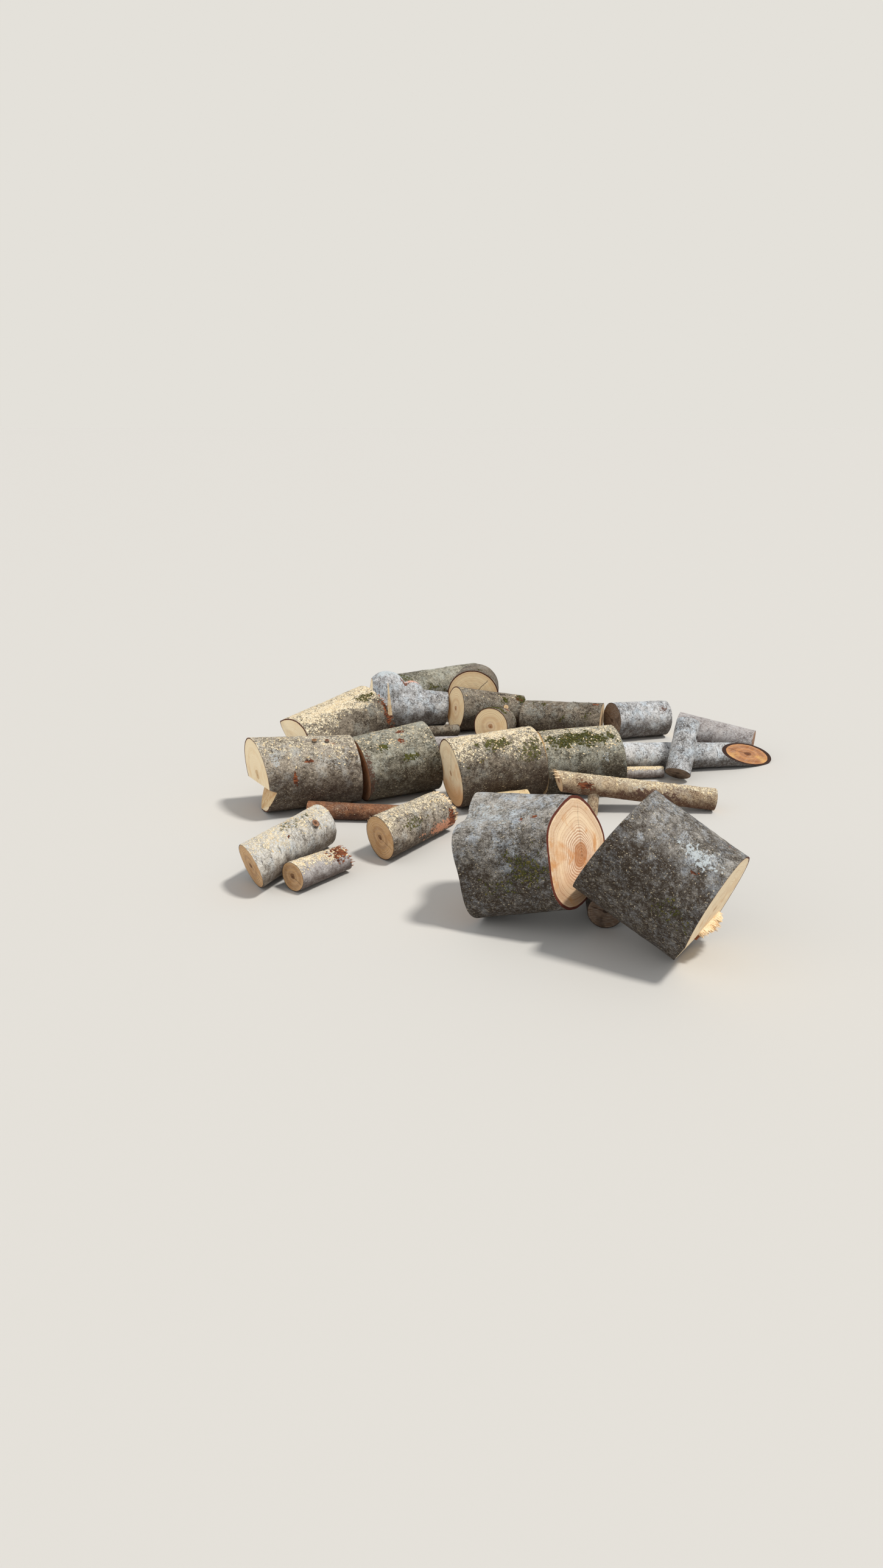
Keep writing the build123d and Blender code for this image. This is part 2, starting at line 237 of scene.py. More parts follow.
def fade(value, low, high):
    share = np.clip((value - low) / (high - low), 0, 1)
    return share * share * (3 - 2 * share)


def noiseAt(points, scale, seed, octaves=2):
    shift = Vector((seed * 3.7, seed * 1.3, seed * 5.1))
    return np.array([noise.fractal(Vector(p) * scale + shift, 0.8, 2.1, octaves) for p in points])


def skinLog(stem, look, seed):
    # a sphere's rings become, in order: the head from its pith out, the bark, and the tail in to its pith
    edge = skinSettings["smallEdge" if stem.middle < skinSettings["thin"] else "edge"]
    count = max(28, int(2 * math.pi * stem.middle / edge))
    start, end = stem.ends()
    capRings = max(4, int(stem.middle / skinSettings["capEdge"]))
    barkRings = max(6, int((end - start) / edge))
    rings = 2 * capRings + barkRings
    bm = bmesh.new()
    bmesh.ops.create_uvsphere(bm, u_segments=count, v_segments=rings, radius=1)
    bm.verts.ensure_lookup_table()
    ball = np.array([v.co[:] for v in bm.verts])
    ring = np.rint(np.arccos(np.clip(ball[:, 2], -1, 1)) / math.pi * rings).astype(int)
    angle = np.arctan2(ball[:, 1], ball[:, 0]) % (2 * math.pi)
    headRim, tailRim = stem.rim(angle, stem.headRun), stem.rim(angle, stem.tailRun)
    share = np.clip((ring - capRings) / barkRings, 0, 1)
    run = headRim + (tailRim - headRim) * share
    reach = stem.radius(angle, run)
    for spot, turn, rise, width in look["swellings"]:
        reach = swellTo(reach, nearAngle(angle, turn), run - start - (end - start) * spot, rise, width)
    onHead, onTail = ring < capRings, ring > capRings + barkRings
    # relief only cuts into the solid, so the log stays in its own room
    flat = np.stack([reach * np.cos(angle), reach * np.sin(angle), run], axis=1)
    lump = noiseAt(flat, 7, seed)
    ripple = noiseAt(flat * [1, 1, 0.8], 34, seed + 1, 3)
    relief = look["relief"]
    cut = relief * (skinSettings["lump"] * (0.5 + 0.5 * np.clip(lump, -1, 1))
                    + skinSettings["ripple"] * (0.5 + 0.6 * np.clip(ripple, -1, 1)))
    marks = paintMarks(stem, look, flat, angle, share, reach, end - start, seed)
    cut += skinSettings["torn"] * fade(marks["torn"], 0.2, 0.7) + skinSettings["scar"] * marks["scar"]
    reach = reach - cut + skinSettings["moss"] * marks["moss"] * relief
    t = np.ones(len(ring))
    t[onHead] = ring[onHead] / capRings
    t[onTail] = (rings - ring[onTail]) / capRings
    pith = np.zeros((len(ring), 2))
    pith[onTail] = look["tailPith"]
    side = pith[:, 0] * (1 - t) + reach * np.cos(angle) * t
    up = pith[:, 1] * (1 - t) + reach * np.sin(angle) * t
    run[onHead] = stem.headRun(side[onHead], up[onHead])
    run[onTail] = stem.tailRun(side[onTail], up[onTail])
    run[onHead] += endRelief(side[onHead], up[onHead], t[onHead], seed)
    run[onTail] -= endRelief(side[onTail], up[onTail], t[onTail], seed + 9)
    for vert, spot in zip(bm.verts, np.clip(stem.place(side, up, run), *cadBox)):
        vert.co = spot
    for face in bm.faces:
        face.smooth = True
        places = [ring[v.index] for v in face.verts]
        atHead, atTail = max(places) <= capRings, min(places) >= capRings + barkRings
        face.material_index = 1 if atHead else 2 if atTail else 0
    for line in bm.edges:
        places = {ring[v.index] for v in line.verts}
        if places in ({capRings}, {capRings + barkRings}):
            line.smooth = False
    bmesh.ops.recalc_face_normals(bm, faces=bm.faces)
    # what the materials read
    logSpace = bm.verts.layers.float_vector.new("logSpace")
    faceSpace = bm.verts.layers.float_vector.new("faceSpace")
    layers = {kind: bm.verts.layers.float.new(kind) for kind in markKinds}
    bm.verts.ensure_lookup_table()
    ringReach = t * stem.middle
    for i, vert in enumerate(bm.verts):
        vert[logSpace] = (side[i] + seed * 1.7, up[i], run[i] + seed * 0.9)
        vert[faceSpace] = (ringReach[i] * math.cos(angle[i]), ringReach[i] * math.sin(angle[i]), t[i])
        for kind in markKinds:
            vert[layers[kind]] = marks[kind][i]
    return bm


def swellTo(reach, turn, away, rise, width):
    # the bark runs smoothly over a ball whose middle lies at a rise from the pith
    inside = width ** 2 - (rise * np.sin(turn)) ** 2 - away ** 2
    ball = np.where(inside > 0, rise * np.cos(turn) + np.sqrt(np.maximum(inside, 0)), 0)
    return (reach + ball + np.sqrt((reach - ball) ** 2 + 0.008 ** 2)) / 2


def cutNotch(bm, stem):
    # saws the felling notch out of a skin: its back and its ceiling are flat
    near = 2e-5
    for point, normal in stem.notchPlanes:
        everything = bm.verts[:] + bm.edges[:] + bm.faces[:]
        bmesh.ops.bisect_plane(bm, geom=everything, dist=1e-6, plane_co=point, plane_no=normal)

    def over(spot):
        return [(np.array(spot) - point) @ normal for point, normal in stem.notchPlanes]

    gone = [face for face in bm.faces if min(over(face.calc_center_median())) > near / 2]
    bmesh.ops.delete(bm, geom=gone, context="FACES")
    rim = [line for line in bm.edges if len(line.link_faces) == 1]
    corners = {vert for line in rim for vert in line.verts if max(abs(d) for d in over(vert.co)) < near}
    hingeLine = bm.edges.new(sorted(corners, key=lambda vert: vert.co.x)[::max(1, len(corners) - 1)])
    for i in range(2):
        loop = [line for line in rim if max(abs(over(vert.co)[i]) for vert in line.verts) < near]
        made = bmesh.ops.edgeloop_fill(bm, edges=loop + [hingeLine])["faces"]
        for face in made:
            face.material_index = 3 + i


def endRelief(side, up, t, seed):
    # shallow arcs of the chain saw
    sweep = np.sin((side * math.cos(seed) + up * math.sin(seed)) * 210 + 3 * np.sin(up * 31 + seed))
    return skinSettings["sawn"] + skinSettings["sawWave"] * sweep * np.clip(1.2 - t, 0, 1)


def nearAngle(angle, turn):
    return (angle - math.radians(turn) + math.pi) % (2 * math.pi) - math.pi


def paintMarks(stem, look, flat, angle, share, reach, length, seed):
    marks = {kind: np.zeros(len(angle)) for kind in markKinds}
    facing = stem.around(angle)[:, 2]
    wobble = noiseAt(flat, 26, seed + 4)
    patch = noiseAt(flat, 9, seed + 6)
    ragged = noiseAt(flat, 95, seed + 5)
    marks["sawdust"] = look["sawdust"] * fade(facing + 0.3 * patch, 0.3, 1.0)
    marks["moss"] = look["moss"] * fade(patch + 0.5 * wobble, 0.15, 0.6) * fade(facing, -0.4, 0.3)
    # the downward side darkens: partly painted shade, partly damp and grime
    marks["under"] = fade(look["shadeAndGrime"] - facing + 0.35 * wobble + 0.3 * patch, -0.45, 0.45)
    for kind, spot, turn, along, around, strength in look["marks"]:
        away = np.hypot((share - spot) * length * 2 / along, nearAngle(angle, turn) * reach * 2 / around)
        mark = strength * fade(1.05 - away + 0.5 * wobble + 0.75 * ragged, 0, 0.5)
        marks[kind] = np.maximum(marks[kind], mark)
    return marks


# Nodes of one tree, and the numbers in them

class Net:
    # lays the nodes of a material or of a shared finish
    def __init__(self, tree):
        self.tree = tree

    def add(self, kind, inputs=None, **settings):
        node = self.tree.nodes.new("ShaderNode" + kind)
        for key, value in settings.items():
            setattr(node, key, value)
        for key, value in (inputs or {}).items():
            if isinstance(value, Value):
                self.tree.links.new(value.socket, node.inputs[key])
            else:
                node.inputs[key].default_value = value
        return node

    def read(self, kind, output, inputs=None, **settings):
        return Value(self, self.add(kind, inputs, **settings).outputs[output])

    def mix(self, share, first, second, blend="MIX"):
        return self.read("Mix", 2, {0: share, 6: first, 7: second}, data_type="RGBA", blend_type=blend)

    def grain(self, vector, scale, detail=3, rough=0.6, warp=0):
        return self.read("TexNoise", "Fac", {"Vector": vector, "Scale": scale, "Detail": detail,
                                             "Roughness": rough, "Distortion": warp})

    def stretch(self, vector, amounts):
        return self.read("VectorMath", 0, {0: vector, 1: amounts}, operation="MULTIPLY")

    def attribute(self, name, output="Fac"):
        return self.read("Attribute", output, attribute_name=name)

    def use(self, group, inputs):
        node = self.add("Group", inputs, node_tree=group)
        return Value(self, node.outputs["Color"]), Value(self, node.outputs["Height"])

    def finish(self, shade, height):
        # the results of a shared finish
        result = self.tree.nodes.new("NodeGroupOutput").inputs
        self.tree.links.new(shade.socket, result["Color"])
        self.tree.links.new(height.socket, result["Height"])
        return self.tree


class Value:
    # a socket whose sums, differences and products are laid as nodes
    def __init__(self, net, socket):
        self.net, self.socket = net, socket

    def calc(self, operation, other=0):
        return self.net.read("Math", 0, {0: self, 1: other}, operation=operation)

    def __add__(self, other):
        return self.calc("ADD", other)

    def __sub__(self, other):
        return self.calc("SUBTRACT", other)

    def __rsub__(self, other):
        return self.net.read("Math", 0, {0: other, 1: self}, operation="SUBTRACT")

    def __mul__(self, other):
        return self.calc("MULTIPLY", other)

    def between(self, low, high, toLow=0, toHigh=1):
        return self.net.read("MapRange", 0, {0: self, 1: low, 2: high, 3: toLow, 4: toHigh},
                             interpolation_type="SMOOTHSTEP")


def newGroup(name, vectors, colours, numbers):
    group = bpy.data.node_groups.new(name, "ShaderNodeTree")
    for kind, labels in (("Vector", vectors), ("Color", colours), ("Float", numbers)):
        for label in labels:
            socket = group.interface.new_socket(label, in_out="INPUT", socket_type="NodeSocket" + kind)
            if kind == "Float":
                socket.default_value = numbers[label]
    for label, kind in (("Color", "Color"), ("Height", "Float")):
        group.interface.new_socket(label, in_out="OUTPUT", socket_type="NodeSocket" + kind)
    net = Net(group)
    given = {socket.name: Value(net, socket) for socket in group.nodes.new("NodeGroupInput").outputs}
    return net, given


def colour(red, green, blue):
    # sRGB shares in per cent
    shares = [part / 100 for part in (red, green, blue)]
    return (*(c / 12.92 if c <= 0.04045 else ((c + 0.055) / 1.055) ** 2.4 for c in shares), 1)


# Finishes that several materials share

def makeMottledBark():
    net, given = newGroup("mottledBark", ["Vector"], ["Light", "Dark", "Lichen", "Under Colour"], {
        "Lichen Amount": 0.4, "Balance": 0.5, "Dashes": 0.3, "Flecks": 0.5, "Under": 0})
    spot = given["Vector"]
    broad = net.grain(spot, 7, 3, 0.55, 0.2)
    middle = net.grain(spot, 38, 5, 0.68, 0.4)
    fine = net.grain(net.stretch(spot, (1, 1, 0.8)), 125, 5, 0.75, 0.5)
    speck = net.grain(spot, 330, 3, 0.7, 0.2)
    tone = broad * 0.42 + middle * 0.55 + fine * 0.85 + speck * 0.75 + given["Balance"] - 1.785
    shade = net.mix(tone.between(-0.24, 0.24), given["Dark"], given["Light"])
    # crusts of lichen with a broken edge
    crust = net.grain(net.stretch(spot, (1, 1, 1.3)), 13, 6, 0.7, 0.2) + speck * 0.5 + fine * 0.4
    shade = net.mix(crust.between(0.93, 1.1) * given["Lichen Amount"], shade, given["Lichen"])
    # short dark dashes across the log
    dash = net.grain(net.stretch(spot, (26, 26, 120)), 1, 2, 0.5, 0.2).between(0.61, 0.68)
    dash = dash * given["Dashes"]
    shade = net.mix(dash, shade, net.mix(0.6, given["Dark"], (0.01, 0.008, 0.006, 1)))
    # the side facing down is darker: partly painted shade, partly damp and dirt
    low = given["Under"] * middle.between(0.4, 0.65, 1, 0.8)
    shadedDamp = net.mix((fine + speck * 0.4).between(0.66, 0.9), given["Under Colour"],
                   net.mix(0.32, given["Under Colour"], shade))
    shade = net.mix(low, shade, shadedDamp)
    # pale flecks all over
    fleck = net.grain(net.stretch(spot, (1, 1, 0.7)), 240, 2, 0.5, 0.6).between(0.65, 0.7)
    shade = net.mix(fleck * given["Flecks"], shade, colour(82, 76, 64))
    return net.finish(shade, middle * 0.45 + fine * 0.4 + speck * 0.15 - dash * 0.2)


def makeBarkDressing():
    # what lies on the bark or was torn from it
    net, given = newGroup("barkDressing", ["Vector"], ["Color"],
                          {"Height": 0.5, **{kind: 0 for kind in markKinds[:-1]}})
    spot = given["Vector"]
    crumb = net.grain(spot, 170, 3, 0.7, 0.8)
    fibre = net.grain(net.stretch(spot, (230, 230, 28)), 1, 3, 0.6, 0.3)
    grit = crumb.between(0.36, 0.64)
    clump = net.grain(spot, 45, 4, 0.65, 0.5).between(0.36, 0.64)
    holes = 1 - (grit * 0.6 + clump * 0.4)

    def broken(kind, low, high):
        # a weak mark shows as separate grains, a strong one closes up
        return (given[kind] - holes * 0.9).between(low, high)

    dust, moss = broken("sawdust", 0, 0.3), broken("moss", 0.1, 0.4)
    torn = (given["torn"] - holes * 0.5 + (fibre - 0.5) * 0.7).between(0.2, 0.4)
    # each mark with its colour, the lowest first
    layers = [
        (broken("pale", 0, 0.4) * 0.85, colour(74, 77, 78)),
        (broken("brown", 0.05, 0.3), net.mix(crumb, colour(20, 12, 10), colour(45, 34, 28))),
        (broken("sap", 0.05, 0.45) * 0.8, colour(86, 60, 47)),
        # sawdust in a lit and a shaded tint: the darker tint, on the low grains, is painted shade
        (dust, net.mix(grit, colour(76, 67, 53), colour(95, 90, 79))),
        (moss, net.mix(grit, colour(13, 14, 5), colour(43, 43, 18))),
        (given["scar"].between(0.35, 0.7), net.mix(fibre, colour(7, 6, 6), colour(25, 20, 18))),
        (torn, net.mix(fibre.between(0.35, 0.65), colour(19, 9, 6), colour(60, 35, 22))),
    ]
    shade = given["Color"]
    for mark, tint in layers:
        shade = net.mix(mark, shade, tint)
    return net.finish(shade, given["Height"] + dust * crumb * 0.5 + moss * crumb * 1.2 - torn * fibre * 0.5)


def makeEndGrain():
    net, given = newGroup("endGrain", ["Face"], ["Wood", "Ring", "Stain", "Heart", "Bark"], {
        "Rings": 160, "Ring Depth": 0.5, "Stains": 0.4, "Heart Size": 0.03, "Bark Share": 0.05,
        "Crack Turn": 60, "Crack": 0, "Low Stain": 0, "Inner Rings": 0})
    side, up, share = (net.read("SeparateXYZ", i, {0: given["Face"]}) for i in range(3))
    flat = net.read("CombineXYZ", 0, {0: side, 1: up})
    reach = net.read("VectorMath", "Value", {0: flat}, operation="LENGTH")
    depth, heartSize = given["Ring Depth"], given["Heart Size"]
    wave = net.grain(flat, 16, 3, 0.5) - 0.5
    line = reach + wave * 0.016
    year = net.read("TexNoise", "Fac", {"W": line * given["Rings"], "Scale": 1, "Detail": 2.5,
                                        "Roughness": 0.75}, noise_dimensions="1D")
    band = net.read("TexNoise", "Fac", {"W": line * given["Rings"] * 0.16, "Scale": 1, "Detail": 1},
                    noise_dimensions="1D")
    shade = net.mix(year.between(0.5, 0.68) * depth, given["Wood"], given["Ring"])
    shade = net.mix(band.between(0.42, 0.66) * depth * 0.75, shade, given["Ring"])
    # clear tan rings close round the heart
    inside = reach.between(heartSize * 1.7, heartSize * 3.1, 1, 0) * given["Inner Rings"]
    tight = (line * 620).calc("SINE").between(-0.4, 0.6) * inside
    shade = net.mix(inside * 0.7, shade, (0.87, 0.78, 0.63, 1))
    shade = net.mix(tight * 0.8, shade, given["Ring"])
    # marks of the chain, straight across the face
    cut = net.grain(net.stretch(flat, (42, 420, 1)), 1, 3, 0.6)
    fuzz = net.grain(flat, 420, 2, 0.6)
    bright = net.mix(0.55, given["Wood"], (1, 0.97, 0.88, 1))
    shade = net.mix(cut.between(0.35, 0.75, 0, 0.3), shade, bright)
    # darker wood low on the face and in patches
    stain = net.grain(flat, 13, 4, 0.6, 0.5)
    low = (up + stain * 0.14).between(-0.03, 0.06, 1, 0) * given["Low Stain"]
    shade = net.mix(low, shade, net.mix(0.8, shade, given["Stain"], "MULTIPLY"))
    shade = net.mix(stain.between(0.5, 0.68) * given["Stains"], shade, given["Stain"])
    heart = (reach + wave * 0.03).between(heartSize, heartSize * 1.25, 1, 0)
    shade = net.mix(heart * 0.75, shade, given["Heart"])
    pith = reach.between(0.003, 0.006, 1, 0)
    shade = net.mix(pith * 0.7, shade, net.mix(0.5, given["Heart"], (0.05, 0.02, 0.01, 1)))
    # a drying crack from the pith outwards
    swing = up.calc("ARCTAN2", side) - given["Crack Turn"].calc("RADIANS") + wave * 0.25
    off = (swing.calc("SINE") * reach).calc("ABSOLUTE")
    ahead = swing.calc("COSINE").between(0, 0.2)
    crack = off.between(0.0008, 0.0026, 1, 0) * ahead * given["Crack"] * share.between(0.92, 0.8)
    shade = net.mix(crack, shade, (0.03, 0.015, 0.008, 1))
    # the rim of bark
    inner = 1 - given["Bark Share"]
    bark = (share + (fuzz - 0.5) * 0.02).between(inner, inner + 0.012)
    darker = net.mix(0.5, given["Bark"], (0.02, 0.01, 0.01, 1))
    shade = net.mix(bark, shade, net.mix(fuzz, given["Bark"], darker))
    return net.finish(shade, cut * 0.5 + fuzz * 0.22 + year * 0.16 - crack * 1.2 - bark * 0.3)


def makeSplitFibres():
    # fine fibres along the run of the wood
    net, given = newGroup("splitFibres", ["Vector", "Run"], ["Pale", "Dark"], {})
    spot, run = given["Vector"], given["Run"]
    along = net.read("VectorMath", "Value", {0: spot, 1: run}, operation="DOT_PRODUCT")
    shift = net.read("VectorMath", 0, {0: run, "Scale": along * -0.93}, operation="SCALE")
    fibre = net.grain(net.read("VectorMath", 0, {0: spot, 1: shift}, operation="ADD"), 240, 4, 0.65, 0.4)
    share = fibre * 0.7 + net.grain(spot, 26, 4, 0.6, 0.3) * 0.5
    return net.finish(net.mix(share.between(0.42, 0.76), given["Dark"], given["Pale"]), fibre)


mottledBark = makeMottledBark()
barkDressing = makeBarkDressing()
endGrain = makeEndGrain()
splitFibres = makeSplitFibres()
print("shared finishes ready")


# Materials. A look states what differs from its base, by the names of the shared finish's inputs

barkBase = {"Lichen Amount": 0.5, "Balance": 0.52, "Dashes": 0.1, "Flecks": 0.8}
# Under Colour is the darker tint of the downward side: partly painted shade, partly damp
barkLooks = {
    "butt": {"Light": (71, 69, 66), "Dark": (20, 18, 15), "Lichen": (71, 75, 79),
        "Under Colour": (20, 16, 12), "Lichen Amount": 0.55, "Balance": 0.5},
    "grey": {"Light": (76, 71, 64), "Dark": (20, 16, 12), "Lichen": (75, 76, 75),
        "Under Colour": (26, 21, 17), "Balance": 0.49, "Dashes": 0.25},
    "mossyGrey": {"Light": (70, 68, 61), "Dark": (19, 17, 12), "Lichen": (70, 72, 69),
        "Under Colour": (23, 19, 14), "Lichen Amount": 0.4, "Balance": 0.47, "Dashes": 0.3},
    "brown": {"Light": (62, 57, 50), "Dark": (18, 14, 10), "Lichen": (66, 67, 64),
        "Under Colour": (23, 18, 14), "Lichen Amount": 0.35, "Balance": 0.47, "Dashes": 0.3, "Flecks": 0.7},
    "blueWhite": {"Light": (84, 84, 84), "Dark": (24, 22, 21), "Lichen": (80, 85, 89),
        "Under Colour": (30, 27, 25), "Dashes": 0.6, "Flecks": 0.3},
    "pale": {"Light": (86, 84, 80), "Dark": (30, 27, 24), "Lichen": (78, 82, 85),
        "Under Colour": (38, 33, 28), "Balance": 0.58, "Dashes": 0.65, "Flecks": 0.3},
    "smooth": {"Light": (72, 70, 69), "Dark": (38, 34, 33), "Lichen": (76, 77, 78),
        "Under Colour": (35, 30, 28), "Lichen Amount": 0.3, "Balance": 0.55, "Dashes": 0.4, "Flecks": 0.3},
    "dusty": {"Light": (78, 69, 56), "Dark": (33, 23, 17), "Lichen": (72, 69, 63),
        "Under Colour": (33, 22, 16), "Lichen Amount": 0.4, "Dashes": 0.2, "Flecks": 0.7},
    "split": {"Light": (90, 82, 64), "Dark": (62, 45, 30), "Lichen": (85, 78, 66),
        "Under Colour": (50, 36, 25), "Lichen Amount": 0.3, "Balance": 0.6, "Dashes": 0, "Flecks": 0},
    "peeled": {"Light": (60, 42, 30), "Dark": (30, 18, 13), "Lichen": (52, 47, 42),
        "Under Colour": (26, 16, 12), "Lichen Amount": 0.4, "Flecks": 0.6},
    # near-black bark for logs that sit in shadow: painted shade, partly weathered
    "shadeAndWeather": {"Light": (40, 35, 30), "Dark": (15, 12, 10), "Lichen": (40, 38, 33),
        "Under Colour": (14, 11, 9), "Lichen Amount": 0.2, "Balance": 0.45, "Flecks": 0.4},
}
endBase = {"Rings": 240, "Ring Depth": 0.6, "Stains": 0.35, "Heart Size": 0.01, "Bark Share": 0.0375,
           "Crack Turn": 120, "Crack": 0, "Low Stain": 0, "Inner Rings": 0}
endLooks = {
    "cream": {"Wood": (98, 90, 75), "Ring": (89, 75, 54), "Stain": (92, 74, 50), "Heart": (80, 66, 48),
        "Bark": (40, 22, 15), "Rings": 260, "Ring Depth": 0.4, "Heart Size": 0.02},
    "creamLow": {"Wood": (98, 90, 75), "Ring": (85, 70, 49), "Stain": (88, 66, 40), "Heart": (72, 52, 34),
        "Bark": (36, 20, 13), "Ring Depth": 0.45, "Stains": 0.5, "Heart Size": 0.012, "Bark Share": 0.04375,
        "Crack Turn": 110, "Crack": 0.5, "Low Stain": 0.8},
    "butt": {"Wood": (92, 84, 71), "Ring": (66, 45, 28), "Stain": (80, 58, 35), "Heart": (68, 46, 27),
        "Bark": (42, 20, 14), "Rings": 165, "Stains": 0.8, "Heart Size": 0.042, "Bark Share": 0.05625,
        "Crack Turn": 62, "Crack": 0.35, "Low Stain": 0.5, "Inner Rings": 1},
    "fresh": {"Wood": (98, 90, 76), "Ring": (86, 72, 54), "Stain": (88, 70, 48), "Heart": (80, 64, 45),
        "Bark": (40, 22, 15), "Rings": 120, "Ring Depth": 0.45, "Stains": 0.5, "Heart Size": 0.012},
    "rust": {"Wood": (76, 52, 30), "Ring": (45, 25, 14), "Stain": (86, 68, 42), "Heart": (38, 22, 14),
        "Bark": (22, 13, 9), "Rings": 200, "Ring Depth": 0.8, "Stains": 0.6, "Bark Share": 0.125,
        "Crack": 0.5, "Low Stain": 0.3},
    # bright: the tan wood painted lighter, painted light for sawn faces that lie in shade
    "bright": {"Wood": (98, 88, 70), "Ring": (82, 62, 41), "Stain": (90, 72, 48), "Heart": (70, 48, 30),
        "Bark": (38, 20, 13), "Rings": 210, "Bark Share": 0.05, "Inner Rings": 0.3},
    "tan": {"Wood": (90, 79, 62), "Ring": (72, 54, 37), "Stain": (82, 63, 43), "Heart": (60, 40, 26),
        "Bark": (34, 20, 14), "Rings": 210, "Stains": 0.4, "Heart Size": 0.012, "Bark Share": 0.04375,
        "Crack Turn": 50, "Crack": 0.6, "Inner Rings": 0.3},
    "ochre": {"Wood": (80, 64, 44), "Ring": (55, 38, 23), "Stain": (66, 47, 28), "Heart": (40, 26, 16),
        "Bark": (26, 17, 12), "Rings": 230, "Ring Depth": 0.75, "Stains": 0.5, "Crack Turn": 200,
        "Crack": 0.4, "Low Stain": 0.2},
    "brown": {"Wood": (60, 42, 28), "Ring": (38, 24, 16), "Stain": (47, 31, 20), "Heart": (30, 19, 12),
        "Bark": (20, 13, 10), "Stains": 0.6, "Heart Size": 0.008, "Bark Share": 0.03125, "Crack": 0.3,
        "Low Stain": 0.3},
    # near-black ends for faces that sit in shadow: painted shade, partly weathered
    "shadeAndWeather": {"Wood": (42, 32, 23), "Ring": (26, 18, 13), "Stain": (24, 18, 14), "Heart": (20, 14, 10),
        "Bark": (14, 10, 8), "Stains": 0.8, "Heart Size": 0.008, "Bark Share": 0.03125, "Crack Turn": 20,
        "Crack": 0.6, "Low Stain": 0.4},
}
# cracked is the bright look with a crack, so its lighter wood is also painted light
endLooks["cracked"] = {**endLooks["bright"], "Crack Turn": 130, "Crack": 0.8}


def finishMaterial(name, lay, rough, depth):
    material = bpy.data.materials.new(name)
    material.use_nodes = True
    net = Net(material.node_tree)
    shader = net.tree.nodes["Principled BSDF"]
    shader.inputs["Specular IOR Level"].default_value = 0.25
    shader.inputs["Roughness"].default_value = rough
    shade, height = lay(net)
    bump = net.read("Bump", "Normal", {"Strength": 1, "Distance": depth, "Height": height})
    net.tree.links.new(shade.socket, shader.inputs["Base Color"])
    net.tree.links.new(bump.socket, shader.inputs["Normal"])
    return material


def readLook(base, look):
    return {label: colour(*value) if isinstance(value, tuple) else value
            for label, value in {**base, **look}.items()}


@cache
def barkMaterial(name):
    def lay(net):
        spot = net.attribute("logSpace", "Vector")
        shade, height = net.use(mottledBark, {"Vector": spot, "Under": net.attribute("under"),
                                              **readLook(barkBase, barkLooks[name])})
        marks = {kind: net.attribute(kind) for kind in markKinds[:-1]}
        return net.use(barkDressing, {"Vector": spot, "Color": shade, "Height": height, **marks})

    return finishMaterial(name + "Bark", lay, rough=0.85, depth=0.0045)


@cache
def endMaterial(name):
    def lay(net):
        face = net.attribute("faceSpace", "Vector")
        return net.use(endGrain, {"Face": face, **readLook(endBase, endLooks[name])})

    return finishMaterial(name + "End", lay, rough=0.75, depth=0.0014)


def fibreMaterial(name, pale, dark, run):
    def lay(net):
        return net.use(splitFibres, {"Vector": net.read("TexCoord", "Object"), "Run": run,
                                     "Pale": colour(*pale), "Dark": colour(*dark)})

    return finishMaterial(name, lay, rough=0.8, depth=0.002)


def layMoss(net):
    spot = net.read("TexCoord", "Object")
    leaf = net.grain(spot, 520, 3, 0.7)
    patch = net.grain(spot, 60, 3, 0.6).between(0.45, 0.7)
    shade = net.mix(leaf.between(0.35, 0.65), colour(10, 11, 4), colour(36, 36, 15))
    return net.mix(patch, shade, colour(45, 40, 22)), leaf


def laySawdust(net):
    # a lit and a shaded tint of sawdust: the darker one, on the low parts, is painted shade
    tone = net.grain(net.read("TexCoord", "Object"), 160, 2, 0.6)
    return net.mix(tone.between(0.35, 0.65), colour(80, 68, 50), colour(95, 90, 76)), tone


splinterRun = (0.7, 0.6, 0.3)
splinterRoot = 0.006
materials = {
    "moss": finishMaterial("moss", layMoss, rough=0.95, depth=0.002),
    "sawdust": finishMaterial("sawdust", laySawdust, rough=0.9, depth=0.001),
    "paleSplinters": fibreMaterial("paleSplinters", (96, 89, 76), (86, 70, 50), splinterRun),
    "rustSplinters": fibreMaterial("rustSplinters", (68, 42, 26), (28, 13, 8), splinterRun),
}


# Making and placing a log

stems = {}
# What a log's dictionary may leave out. Its bark is measured at its plain shares of the way along it
plainLog = {"tail": "tan", "rise": 0, "relief": 1, "shadeAndGrime": 0, "sawdust": 0, "moss": 0, "marks": (),
            "limbs": (), "fringes": (), "swellings": (), "tailPith": (0, 0), "notched": False,
            "plainShares": (0.3, 0.4, 0.5, 0.6, 0.7)}


def addObject(name, data):
    added = bpy.data.objects.new(name, data)
    bpy.context.scene.collection.objects.link(added)
    return added


def addMesh(name, bm, finishes):
    mesh = bpy.data.meshes.new(name)
    bm.to_mesh(mesh)
    bm.free()
    for finish in finishes:
        mesh.materials.append(finish)
    return addObject(name, mesh)


def layPiece(name, bm, finishes, node, replace=False):
    piece = addMesh(name, bm, finishes)
    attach(piece, "root")
    if replace:
        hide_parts(node)


def turnTo(spot, across, way):
    # a matrix that stands a shape on a spot: its X runs across and its Z along the way
    way = Vector(way).normalized()
    across = Vector(across)
    across = (across - way * across.dot(way)).normalized()
    turn = Matrix((across, way.cross(across), way)).transposed()
    return Matrix.Translation(Vector(spot)) @ turn.to_4x4()


# What stands off the bark where its mark is strong: the least mark and how often, the size of a grain, how it
# is stretched along one of its axes and flattened, and how deep it sits
strewn = {
    "moss": {"least": 0.3, "chance": 0.55, "size": (0.0022, 0.0052), "axis": 1, "stretch": (0.6, 1),
             "flat": 0.6, "deep": 0.001},
    "sawdust": {"least": 0.12, "chance": 0.16, "size": (0.0009, 0.0026), "axis": 0, "stretch": (1, 2.4),
                "flat": 0.35, "deep": 0.0},
}


